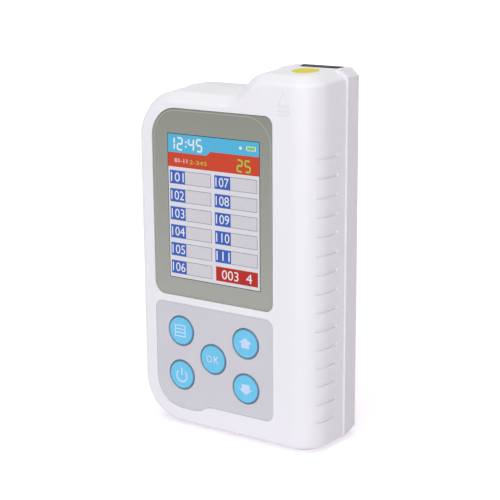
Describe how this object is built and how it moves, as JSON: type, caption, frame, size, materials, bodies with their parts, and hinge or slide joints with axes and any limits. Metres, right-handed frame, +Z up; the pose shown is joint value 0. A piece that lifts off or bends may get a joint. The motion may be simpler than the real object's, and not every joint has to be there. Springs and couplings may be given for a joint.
{
  "type": "urine analyzer",
  "caption": "Handheld urine strip analyzer: two-shell case with a raised tray column, colour display, round keys and a motorised strip tray that slides up out of the top.",
  "frame": {"origin": "under the middle of the case, at the height of its base, with the analyzer standing upright on its base", "axes": "+Z up along the case, -Y out of the screen, +X towards the tray column on the right"},
  "size_m": [0.0734, 0.03, 0.1262],
  "materials": {
    "case_white": "satin white moulded plastic",
    "lens_grey": "glossy clear lens, printed grey round the picture",
    "panel_grey": "light grey satin film",
    "key_blue": "sky-blue satin key cap",
    "sticker_yellow": "plain yellow film",
    "switch_black": "black plastic",
    "board_green": "green circuit board",
    "screen_glass": "clear display glass",
    "backlight_white": "white backlight frame",
    "foam_black": "black foam",
    "ribbon_amber": "amber film ribbon",
    "cell_foil": "silver foil pouch",
    "lead_red": "red insulated wire",
    "socket_cream": "cream plastic",
    "steel": "plain steel",
    "shield_steel": "tinned steel can",
    "chip_black": "black moulded package",
    "optics_black": "matt black plastic",
    "clear_window": "clear window",
    "diode_clear": "clear lens",
    "tray_black": "black satin plastic",
    "reference_white": "matt white reference plastic",
    "gear_white": "natural acetal",
    "motor_steel": "steel motor can",
    "guide_grey": "grey plastic",
    "screw_steel": "zinc-plated steel"
  },
  "bodies": {
    "case": {"front_shell": "case_white", "rear_shell": "case_white", "display_lens": "lens_grey", "key_panel": "panel_grey", "top_mark": "sticker_yellow", "tact_switches": "switch_black", "main_board": "board_green", "screen_glass": "screen_glass", "screen_backlight": "backlight_white", "screen_foam": "foam_black", "screen_ribbon": "ribbon_amber", "battery_cell": "cell_foil", "battery_pad": "foam_black", "battery_leads": "lead_red", "battery_socket": "socket_cream", "usb_port": "steel", "buzzer": "switch_black", "board_chips": "chip_black", "radio_module": "shield_steel", "optical_head": "optics_black", "optics_window": "clear_window", "sensor_board": "board_green", "sensor_diodes": "diode_clear", "sensor_ribbon": "ribbon_amber", "motor_body": "motor_steel", "motor_bracket": "steel", "motor_leads": "lead_red", "tray_guide": "guide_grey", "home_sensor": "switch_black", "case_screws": "screw_steel", "board_screws": "screw_steel", "sensor_screws": "screw_steel", "bracket_screws": "screw_steel", "guide_screws": "screw_steel", "motor_screws": "screw_steel"},
    "tray": {"strip_tray": "tray_black", "reference_block": "reference_white", "tray_rack": "gear_white"},
    "pinion": {"drive_pinion": "gear_white", "motor_shaft": "steel"},
    "menu_key": {"key_menu": "key_blue", "plunger_menu": "switch_black"},
    "power_key": {"key_power": "key_blue", "plunger_power": "switch_black"},
    "ok_key": {"key_ok": "key_blue", "plunger_ok": "switch_black"},
    "up_key": {"key_up": "key_blue", "plunger_up": "switch_black"},
    "down_key": {"key_down": "key_blue", "plunger_down": "switch_black"}
  },
  "joints": [
    {"name": "tray_slide", "type": "slide", "parent": "case", "child": "tray", "axis": [0, 0, 1], "range_m": [0, 0.075]},
    {"name": "pinion_turn", "type": "hinge", "parent": "case", "child": "pinion", "pos_m": [0.01305, 0.0061, 0.098], "axis": [0, 1, 0], "range_deg": [-690, 0]},
    {"name": "menu_press", "type": "slide", "parent": "case", "child": "menu_key", "axis": [0, 1, 0], "range_m": [0, 0.0006], "stiffness_N_per_m": 400, "springref_m": -0.0006},
    {"name": "power_press", "type": "slide", "parent": "case", "child": "power_key", "axis": [0, 1, 0], "range_m": [0, 0.0006], "stiffness_N_per_m": 400, "springref_m": -0.0006},
    {"name": "ok_press", "type": "slide", "parent": "case", "child": "ok_key", "axis": [0, 1, 0], "range_m": [0, 0.0006], "stiffness_N_per_m": 400, "springref_m": -0.0006},
    {"name": "up_press", "type": "slide", "parent": "case", "child": "up_key", "axis": [0, 1, 0], "range_m": [0, 0.0006], "stiffness_N_per_m": 400, "springref_m": -0.0006},
    {"name": "down_press", "type": "slide", "parent": "case", "child": "down_key", "axis": [0, 1, 0], "range_m": [0, 0.0006], "stiffness_N_per_m": 400, "springref_m": -0.0006}
  ],
  "couplings": [
    {"joint": "pinion_turn", "follows": "tray_slide", "rad_per_m": -158.73}
  ]
}
